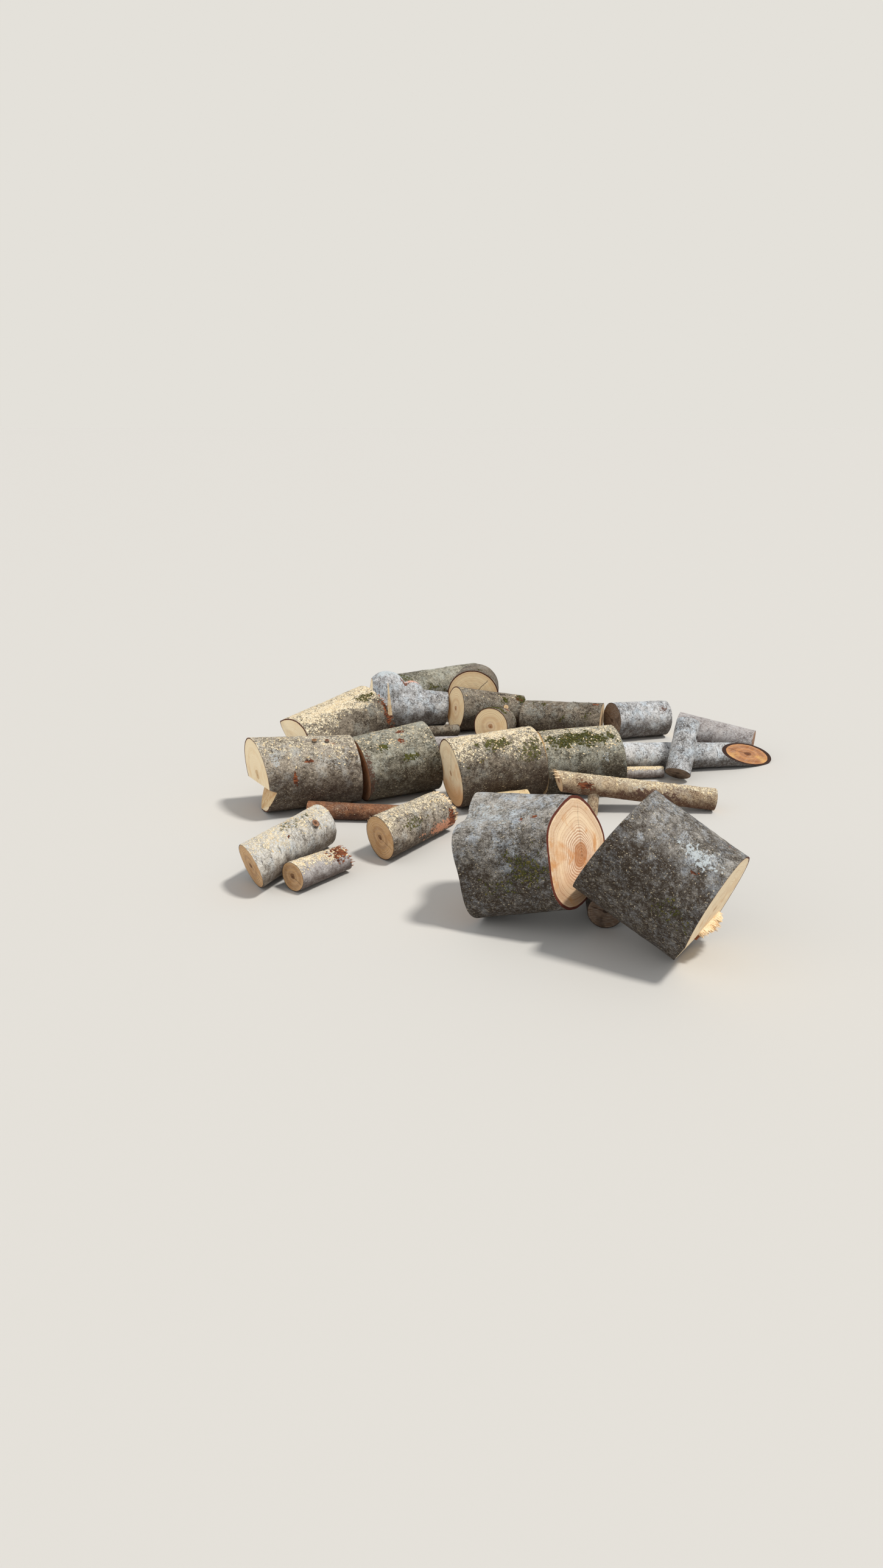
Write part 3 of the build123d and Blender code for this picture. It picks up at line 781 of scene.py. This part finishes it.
def strew(node, skin, kind, seed):
    spec = strewn[kind]
    layer = skin.verts.layers.float[kind]
    draw = random.Random(seed)
    spots = []
    for face in skin.faces:
        if face.material_index == 0:
            value = sum(vert[layer] for vert in face.verts) / len(face.verts)
            if value > spec["least"] and draw.random() < spec["chance"] * value:
                spots.append((face.calc_center_median(), face.normal.copy()))
    if not spots:
        return
    draw = random.Random(seed)
    bm = bmesh.new()
    for spot, normal in spots:
        size = draw.uniform(*spec["size"])
        across = [draw.uniform(-1, 1) for _ in range(3)]
        scale = [1, 1, spec["flat"], 1]
        scale[spec["axis"]] = draw.uniform(*spec["stretch"])
        matrix = turnTo(spot - normal * spec["deep"], across, normal) @ Matrix.Diagonal(scale)
        if kind == "moss":
            bmesh.ops.create_icosphere(bm, subdivisions=1, radius=size, matrix=matrix)
        else:
            bmesh.ops.create_cube(bm, size=2 * size, matrix=matrix)
    layPiece(f"{node}_{kind}", bm, [materials[kind]], node)


def addSplinter(bm, foot, across, way, length, width, thick):
    # a blade of torn wood that tapers to its tip
    matrix = turnTo(Vector(foot) + Vector(way).normalized() * length / 2, across, way)
    matrix = matrix @ Matrix.Diagonal((1, thick / width, 1, 1))
    bmesh.ops.create_cone(bm, cap_ends=True, segments=6, radius1=width / 2, radius2=width * 0.09,
                          depth=length, matrix=matrix)


def tearRim(node, fringe, index):
    # splinters near the rim of a log's tail: angles, count, lengths, widths, share of the radius, finish
    angles, count, lengths, widths, depth, finish = fringe
    stem = stems[node]
    draw = random.Random(70 + index)
    bm = bmesh.new()
    for _ in range(count):
        angle = np.array([math.radians(draw.uniform(*angles))])
        run = stem.rim(angle, stem.tailRun)
        reach = stem.radius(angle, run) * draw.uniform(1 - depth, 0.97)
        side, up = reach * np.cos(angle), reach * np.sin(angle)
        foot = stem.place(side, up, stem.tailRun(side, up) - splinterRoot)[0]
        tangent = -math.sin(angle[0]) * stem.aside + math.cos(angle[0]) * stem.above
        away = stem.around(angle)[0]
        way = stem.along + away * draw.uniform(-0.12, 0.2) + tangent * draw.uniform(-0.25, 0.25)
        length = draw.uniform(*lengths) + splinterRoot
        width = draw.uniform(*widths)
        addSplinter(bm, foot, tangent, way, length, width, width * draw.uniform(0.25, 0.5))
    layPiece(f"{node}_splinters_{index + 1}", bm, [materials[finish]], node)


def layLog(look):
    look = {**plainLog, **look}
    node = look["node"]
    seed = len(stems) + 1
    stem = readStem(node, look["heading"], look["rise"], look["plainShares"])
    stems[node] = stem
    if look["notched"]:
        stem.notchPlanes = sorted(stem.headPlanes[1:], key=lambda plane: plane[1] @ stem.along)
        stem.headPlanes = stem.headPlanes[:1]
    bm = skinLog(stem, look, seed)
    finishes = [barkMaterial(look["bark"]), endMaterial(look["head"]), endMaterial(look["tail"])]
    if look["notched"]:
        cutNotch(bm, stem)
        # the ceiling's darker orange-brown is partly painted shade on the notch, partly torn wood
        finishes += [fibreMaterial("notchBack", (93, 84, 66), (80, 60, 38), (0, 0, 1)),
                     fibreMaterial("notchCeiling", (78, 52, 30), (42, 20, 10), tuple(stem.along))]
    strew(node, bm, "moss", seed)
    strew(node, bm, "sawdust", seed + 50)
    layPiece(node + "_skin", bm, finishes, node, True)
    for i, limb in enumerate(look["limbs"]):
        layLimb(node, stem, look, limb, i, seed)
    for i, fringe in enumerate(look["fringes"]):
        tearRim(node, fringe, i)
    print("laid", node)


def layLimb(node, stem, look, limb, index, seed):
    # a limb or sawn knot: share, angle, diameter, reach over the bark, and the look of its end
    share, angle, diameter, reach, finish = limb
    angle = math.radians(angle)
    start, end = stem.ends()
    run = start + (end - start) * share
    way = stem.around(np.array([angle]))[0]
    bark = float(stem.radius(np.array([angle]), run)[0])
    deep = min(bark * 0.6, 0.05)
    foot = stem.origin + stem.along * run + way * (bark - deep)
    if reach == "ground":
        down = np.array([0.0, 0.0, -1.0])
        twig = roundStem(foot, way, diameter * 0.5, diameter * 0.46, -foot[2] / way[2], down)
    else:
        twig = roundStem(foot, way, diameter * 0.56, diameter * 0.47, deep + reach)
    bm = skinLog(twig, {**plainLog, "relief": 0.5}, seed + 20 + index)
    finishes = [barkMaterial(look["bark"]), endMaterial(finish), endMaterial(finish)]
    layPiece(f"{node}_limb_{index + 1}", bm, finishes, node)


# The strip of fibres left standing on the felled face: its middle from the pith, its size and its splinters
hinge = {"side": -0.05, "up": -0.086, "width": 0.19, "thickness": 0.012, "reach": 0.039, "cuts": 46,
         "blades": 120, "block": (0.052, 0.02, 0.012), "blockSide": 0.02, "blockUp": -0.103}


def layHinge():
    stem = stems["butt_log_right"]
    draw = random.Random(31)
    faceRun = float(stem.headRun(hinge["side"], hinge["up"]))
    middle = stem.place(hinge["side"], hinge["up"], faceRun)
    bm = bmesh.new()
    bmesh.ops.create_cube(bm, size=1)
    longEdges = [line for line in bm.edges if abs(line.verts[0].co.x - line.verts[1].co.x) > 0.5]
    bmesh.ops.subdivide_edges(bm, edges=longEdges, cuts=hinge["cuts"])
    for vert in bm.verts:
        # the outer edge is torn to an uneven height
        x, y, outer = vert.co.x, vert.co.y, vert.co.z > 0
        uneven = noise.noise(Vector((x * 9, y, 4))) + noise.noise(Vector((x * 31, y, 2)))
        fall = 0.6 - 1.1 * x ** 2 + 0.35 * uneven
        vert.co = Vector((x * hinge["width"], y * hinge["thickness"] * (0.7 if outer else 1.1),
                          hinge["reach"] * max(0.1, min(0.85, fall)) if outer else -0.01))
    bmesh.ops.transform(bm, matrix=turnTo(middle, stem.aside, -stem.along), verts=bm.verts)
    for _ in range(hinge["blades"]):
        across = hinge["side"] + draw.uniform(-0.5, 0.5) * hinge["width"]
        up = hinge["up"] + draw.uniform(-0.45, 0.45) * hinge["thickness"]
        foot = stem.place(across, up, float(stem.headRun(across, up)) + 0.004)
        way = -stem.along + stem.aside * draw.uniform(-0.22, 0.22) + stem.above * draw.uniform(-0.1, 0.14)
        middleShare = 1 - 1.2 * abs(across - hinge["side"]) / hinge["width"]
        length = hinge["reach"] * draw.uniform(0.5, 1.2) * max(0.35, middleShare) + 0.004
        addSplinter(bm, foot, stem.aside, way, length, draw.uniform(0.004, 0.012), draw.uniform(0.001, 0.003))
    layPiece("butt_log_right_hinge", bm, [materials["paleSplinters"]], "butt_log_right")
    # a broken block of darker wood below the strip
    spot = stem.place(hinge["blockSide"], hinge["blockUp"],
                      float(stem.headRun(hinge["blockSide"], hinge["blockUp"])))
    block = bmesh.new()
    bmesh.ops.create_cube(block, size=1)
    bmesh.ops.subdivide_edges(block, edges=block.edges, cuts=5, use_grid_fill=True)
    for vert in block.verts:
        vert.co += 0.1 * noise.noise_vector(vert.co * 2.3)
        vert.co = Vector([vert.co[i] * hinge["block"][i] for i in range(3)])
    bmesh.ops.transform(block, matrix=turnTo(spot, stem.aside, -stem.along), verts=block.verts)
    layPiece("butt_log_right_torn_block", block, [materials["rustSplinters"]], "butt_log_right")


# The tall splinter left standing at the raised end of the slanting log: angle on the rim, and its size
tallSplinter = {"angle": 168, "length": 0.165, "width": 0.027, "thickness": 0.007, "lean": (-0.05, 0.02, 1.0)}


def layUprightSplinter():
    stem = stems["slanting_log"]
    angle = np.array([math.radians(tallSplinter["angle"])])
    run = stem.rim(angle, stem.tailRun)
    reach = stem.radius(angle, run) - 0.008
    foot = stem.place(reach * np.cos(angle), reach * np.sin(angle), run)[0] - stem.along * 0.004
    bm = bmesh.new()
    for i, share in enumerate((1.0, 0.62, 0.4)):
        shift = stem.aside * (i - 0.6) * 0.006
        addSplinter(bm, foot + shift, (1, 0.25, 0), tallSplinter["lean"], tallSplinter["length"] * share,
                    tallSplinter["width"] * (1 - 0.25 * i), tallSplinter["thickness"])
    layPiece("slanting_log_tall_splinter", bm, [materials["paleSplinters"]], "slanting_log")


# The logs, from the front of the heap to its back

layLog({"node": "butt_log_left", "heading": -21.5, "rise": 15, "bark": "butt", "head": "butt",
        "tail": "butt", "relief": 1.3, "shadeAndGrime": 0.45, "tailPith": (0.03, -0.03),
        "marks": [("moss", 0.75, 175, 0.2, 0.16, 0.5), ("torn", 0.68, 119, 0.035, 0.02, 0.9),
            ("torn", 0.8, 115, 0.03, 0.015, 0.9), ("pale", 0.4, 110, 0.3, 0.14, 0.5),
            ("pale", 0.15, 95, 0.16, 0.12, 0.5), ("moss", 0.45, 190, 0.2, 0.12, 0.4)]})
layLog({"node": "butt_log_right", "heading": 147, "rise": 20, "bark": "butt", "head": "fresh",
        "tail": "butt", "relief": 1.3, "shadeAndGrime": 0.85, "marks": [("torn", 0.26, 45, 0.035, 0.03, 1),
            ("pale", 0.3, 62, 0.16, 0.08, 0.85), ("torn", 0.085, 110, 0.05, 0.02, 0.8),
            ("torn", 0.16, 100, 0.04, 0.012, 0.7), ("moss", 0.2, 5, 0.2, 0.12, 0.4)]})
layHinge()
layLog({"node": "limb_under_butt_logs", "heading": 86, "bark": "shadeAndWeather", "head": "shadeAndWeather", "tail": "shadeAndWeather"})
layLog({"node": "near_row_left_log", "heading": 18.5, "bark": "grey", "head": "cream", "sawdust": 0.5,
        "shadeAndGrime": 0.15, "notched": True, "marks": [("torn", 0.46, 144, 0.045, 0.022, 1),
            ("torn", 0.285, 170, 0.024, 0.07, 1), ("sap", 0.76, 111, 0.05, 0.03, 0.8),
            ("pale", 0.115, 136, 0.07, 0.12, 0.7), ("pale", 0.7, 125, 0.12, 0.16, 0.5)],
        "limbs": [(0.565, 105, 0.026, 0.007, "ochre"), (0.695, 106, 0.024, 0.006, "brown")]})
layLog({"node": "near_row_right_log", "heading": 27, "bark": "mossyGrey", "head": "brown", "tail": "cream",
        "sawdust": 0.35, "shadeAndGrime": 0.2, "marks": [("torn", 0.61, 99, 0.05, 0.03, 1),
            ("torn", 0.545, 121, 0.035, 0.045, 1), ("moss", 0.29, 129, 0.08, 0.04, 1),
            ("moss", 0.595, 157, 0.08, 0.05, 0.9), ("brown", 0.03, 176, 0.05, 0.3, 0.8)]})
layLog({"node": "middle_row_left_log", "heading": 24, "bark": "brown", "head": "creamLow", "tail": "cream",
        "sawdust": 0.7, "moss": 0.35, "shadeAndGrime": 0.25, "marks": [("moss", 0.475, 118, 0.2, 0.08, 0.8),
            ("sawdust", 0.5, 92, 0.5, 0.08, 0.85), ("moss", 0.85, 140, 0.12, 0.12, 0.7)]})
layLog({"node": "middle_row_right_log", "heading": 15.5, "bark": "mossyGrey", "head": "cream",
        "tail": "cream", "sawdust": 0.55, "moss": 0.3, "shadeAndGrime": 0.15,
        "marks": [("moss", 0.445, 118, 0.4, 0.1, 0.85), ("pale", 0.74, 156, 0.09, 0.06, 0.6),
            ("moss", 0.2, 120, 0.16, 0.1, 0.8)]})
layLog({"node": "back_row_left_log", "heading": 11, "bark": "brown", "head": "bright", "sawdust": 0.2,
        "marks": [("moss", 0.67, 129, 0.08, 0.05, 0.9), ("scar", 0.6, 103, 0.13, 0.012, 1),
            ("torn", 0.9, 120, 0.05, 0.03, 0.9), ("moss", 0.93, 118, 0.06, 0.1, 0.8)],
        "limbs": [(0.685, 154, 0.032, 0.008, "cream")]})
layLog({"node": "back_row_middle_log", "heading": -12.5, "bark": "brown", "head": "tan", "moss": 0.4,
        "marks": [("torn", 0.92, 95, 0.04, 0.03, 0.9), ("pale", 0.3, 120, 0.3, 0.12, 0.3)]})
layLog({"node": "back_row_right_log", "heading": 15, "bark": "blueWhite", "head": "shadeAndWeather", "tail": "cream",
        "marks": [("brown", 0.85, 130, 0.05, 0.06, 0.8)]})
layLog({"node": "forked_log", "heading": 9, "bark": "blueWhite", "head": "cream",
        "swellings": [(0.2, 84, 0.092, 0.112), (0.52, 84, 0.084, 0.072)],
        "plainShares": (0.7, 0.75, 0.8, 0.85, 0.9), "marks": [("pale", 0.2, 88, 0.2, 0.1, 1),
            ("sap", 0.52, 88, 0.09, 0.06, 1), ("torn", 0.42, 96, 0.06, 0.03, 0.8)],
        "limbs": [(0.07, 153, 0.034, 0.008, "cream")]})
layLog({"node": "slanting_log", "heading": 41.5, "rise": 9, "bark": "brown", "head": "cream", "sawdust": 0.8,
        "marks": [("torn", 0.97, 165, 0.05, 0.16, 0.9), ("sawdust", 0.45, 100, 0.4, 0.12, 0.95),
            ("moss", 0.85, 115, 0.12, 0.06, 0.7)],
        "fringes": [((120, 215), 50, (0.004, 0.02), (0.003, 0.01), 0.12, "rustSplinters")]})
layUprightSplinter()
layLog({"node": "limb_under_slanting_log", "heading": 85, "bark": "shadeAndWeather", "head": "shadeAndWeather", "tail": "shadeAndWeather"})
layLog({"node": "end_on_log_small", "heading": 66, "bark": "brown", "head": "bright", "moss": 0.7,
        "marks": [("torn", 0.8, 110, 0.06, 0.05, 0.9), ("moss", 0.4, 60, 0.2, 0.14, 0.9)]})
layLog({"node": "end_on_log_large", "heading": 84, "bark": "brown", "head": "cracked", "shadeAndGrime": 0.4,
        "moss": 0.3})
layLog({"node": "mossy_log", "heading": 36, "bark": "mossyGrey", "head": "tan", "moss": 0.6})
layLog({"node": "thin_log_brown_end", "heading": 14, "bark": "brown", "head": "brown", "tail": "ochre"})
layLog({"node": "thin_log_pale", "heading": 4, "bark": "smooth", "head": "tan", "relief": 0.3})
layLog({"node": "peeled_limb", "heading": -4, "bark": "peeled", "head": "ochre", "tail": "ochre",
        "relief": 0.7, "limbs": [(0.62, 150, 0.058, 0.016, "ochre")]})
layLog({"node": "split_log", "heading": 18, "bark": "split", "head": "cream", "tail": "cream"})
layLog({"node": "torn_log", "heading": 54, "bark": "grey", "head": "ochre", "tail": "ochre", "sawdust": 0.6,
        "marks": [("pale", 0.5, 100, 0.12, 0.08, 0.6), ("moss", 0.4, 150, 0.2, 0.06, 0.6),
            ("torn", 0.95, 185, 0.06, 0.09, 0.9), ("sap", 0.82, 203, 0.28, 0.08, 1)],
        "fringes": [((60, 200), 70, (0.006, 0.022), (0.004, 0.011), 0.1, "paleSplinters"),
            ((165, 235), 40, (0.004, 0.026), (0.003, 0.009), 0.25, "rustSplinters")]})
layLog({"node": "pale_log", "heading": 62, "bark": "pale", "head": "ochre", "sawdust": 0.6,
        "marks": [("torn", 0.45, 128, 0.02, 0.02, 0.9), ("moss", 0.6, 100, 0.25, 0.06, 0.5)],
        "limbs": [(0.695, 134, 0.038, 0.008, "brown")]})
layLog({"node": "small_log_beside_pale_log", "heading": 48, "bark": "smooth", "head": "ochre",
        "tail": "ochre", "sawdust": 0.8, "marks": [("torn", 0.85, 110, 0.12, 0.12, 1)],
        "fringes": [((20, 210), 60, (0.004, 0.022), (0.003, 0.01), 0.5, "rustSplinters")]})
layLog({"node": "oblique_cut_log", "heading": 8, "bark": "blueWhite", "head": "tan", "tail": "rust"})
layLog({"node": "smooth_log", "heading": -23, "bark": "smooth", "head": "tan", "tail": "brown",
        "relief": 0.4})
layLog({"node": "slender_log", "heading": 179, "rise": 6.6, "bark": "dusty", "head": "tan", "sawdust": 0.6,
        "marks": [("torn", 0.86, 10, 0.1, 0.04, 0.9), ("brown", 0.4, 5, 0.3, 0.06, 0.9),
            ("pale", 0.5, 30, 0.1, 0.06, 0.6)], "limbs": [(0.77, 300, 0.056, "ground", "tan")],
        "fringes": [((40, 140), 16, (0.006, 0.03), (0.005, 0.012), 0.3, "paleSplinters")]})
layLog({"node": "offcut_log", "heading": 3, "bark": "smooth", "head": "brown", "sawdust": 1.0})
layLog({"node": "leaning_log", "heading": 67, "rise": 50, "bark": "blueWhite", "head": "shadeAndWeather",
        "relief": 0.6, "marks": [("scar", 0.7, 175, 0.02, 0.03, 1), ("scar", 0.3, 200, 0.02, 0.02, 1)]})


# Floor, light and camera

stage = {"floor": 60.0, "floorColour": (77, 76, 74), "sky": 0.55, "skyColour": (0.95, 0.97, 1.0, 1),
         "backdrop": (89.4, 88.2, 85.5), "camera": (-0.3998, -4.8987, 1.8), "pitch": 19.7, "lens": 24.97}
suns = {
    "keyLight": {"energy": 2.7, "spread": 9, "way": (-0.42, 0.1, -0.9), "tint": (1.0, 0.97, 0.92)},
    "fillLight": {"energy": 0.7, "spread": 70, "way": (0.75, 0.55, -0.45), "tint": (1.0, 1.0, 1.0)},
}

bm = bmesh.new()
bmesh.ops.create_grid(bm, x_segments=1, y_segments=1, size=stage["floor"])
floorPaint = bpy.data.materials.new("floorPaint")
floorPaint.use_nodes = True
floorShader = floorPaint.node_tree.nodes["Principled BSDF"]
floorShader.inputs["Base Color"].default_value = colour(*stage["floorColour"])
floorShader.inputs["Roughness"].default_value = 0.9
floor = addMesh("floor", bm, [floorPaint])

world = bpy.data.worlds.new("softSky")
world.use_nodes = True
sky = Net(world.node_tree)
daylight = sky.tree.nodes["Background"]
daylight.inputs["Color"].default_value = stage["skyColour"]
daylight.inputs["Strength"].default_value = stage["sky"]
# the camera sees a plain backdrop, the logs are lit by the sky
backdrop = sky.read("Background", 0, {"Color": colour(*stage["backdrop"]), "Strength": 1.0})
seen = sky.add("MixShader", {0: sky.read("LightPath", "Is Camera Ray"), 2: backdrop})
sky.tree.links.new(daylight.outputs[0], seen.inputs[1])
sky.tree.links.new(seen.outputs[0], sky.tree.nodes["World Output"].inputs["Surface"])
bpy.context.scene.world = world

for name, look in suns.items():
    sun = bpy.data.lights.new(name, "SUN")
    sun.energy = look["energy"]
    sun.angle = math.radians(look["spread"])
    sun.color = look["tint"]
    lamp = addObject(name, sun)
    lamp.rotation_euler = Vector(look["way"]).to_track_quat("-Z", "Y").to_euler()

cameraData = bpy.data.cameras.new("camera")
cameraData.lens = stage["lens"]
cameraData.sensor_width = 36
camera = addObject("camera", cameraData)
camera.location = stage["camera"]
camera.rotation_euler = (math.radians(90 - stage["pitch"]), 0, 0)
bpy.context.scene.camera = camera
bpy.context.scene.view_settings.view_transform = "Standard"

print("stage ready")
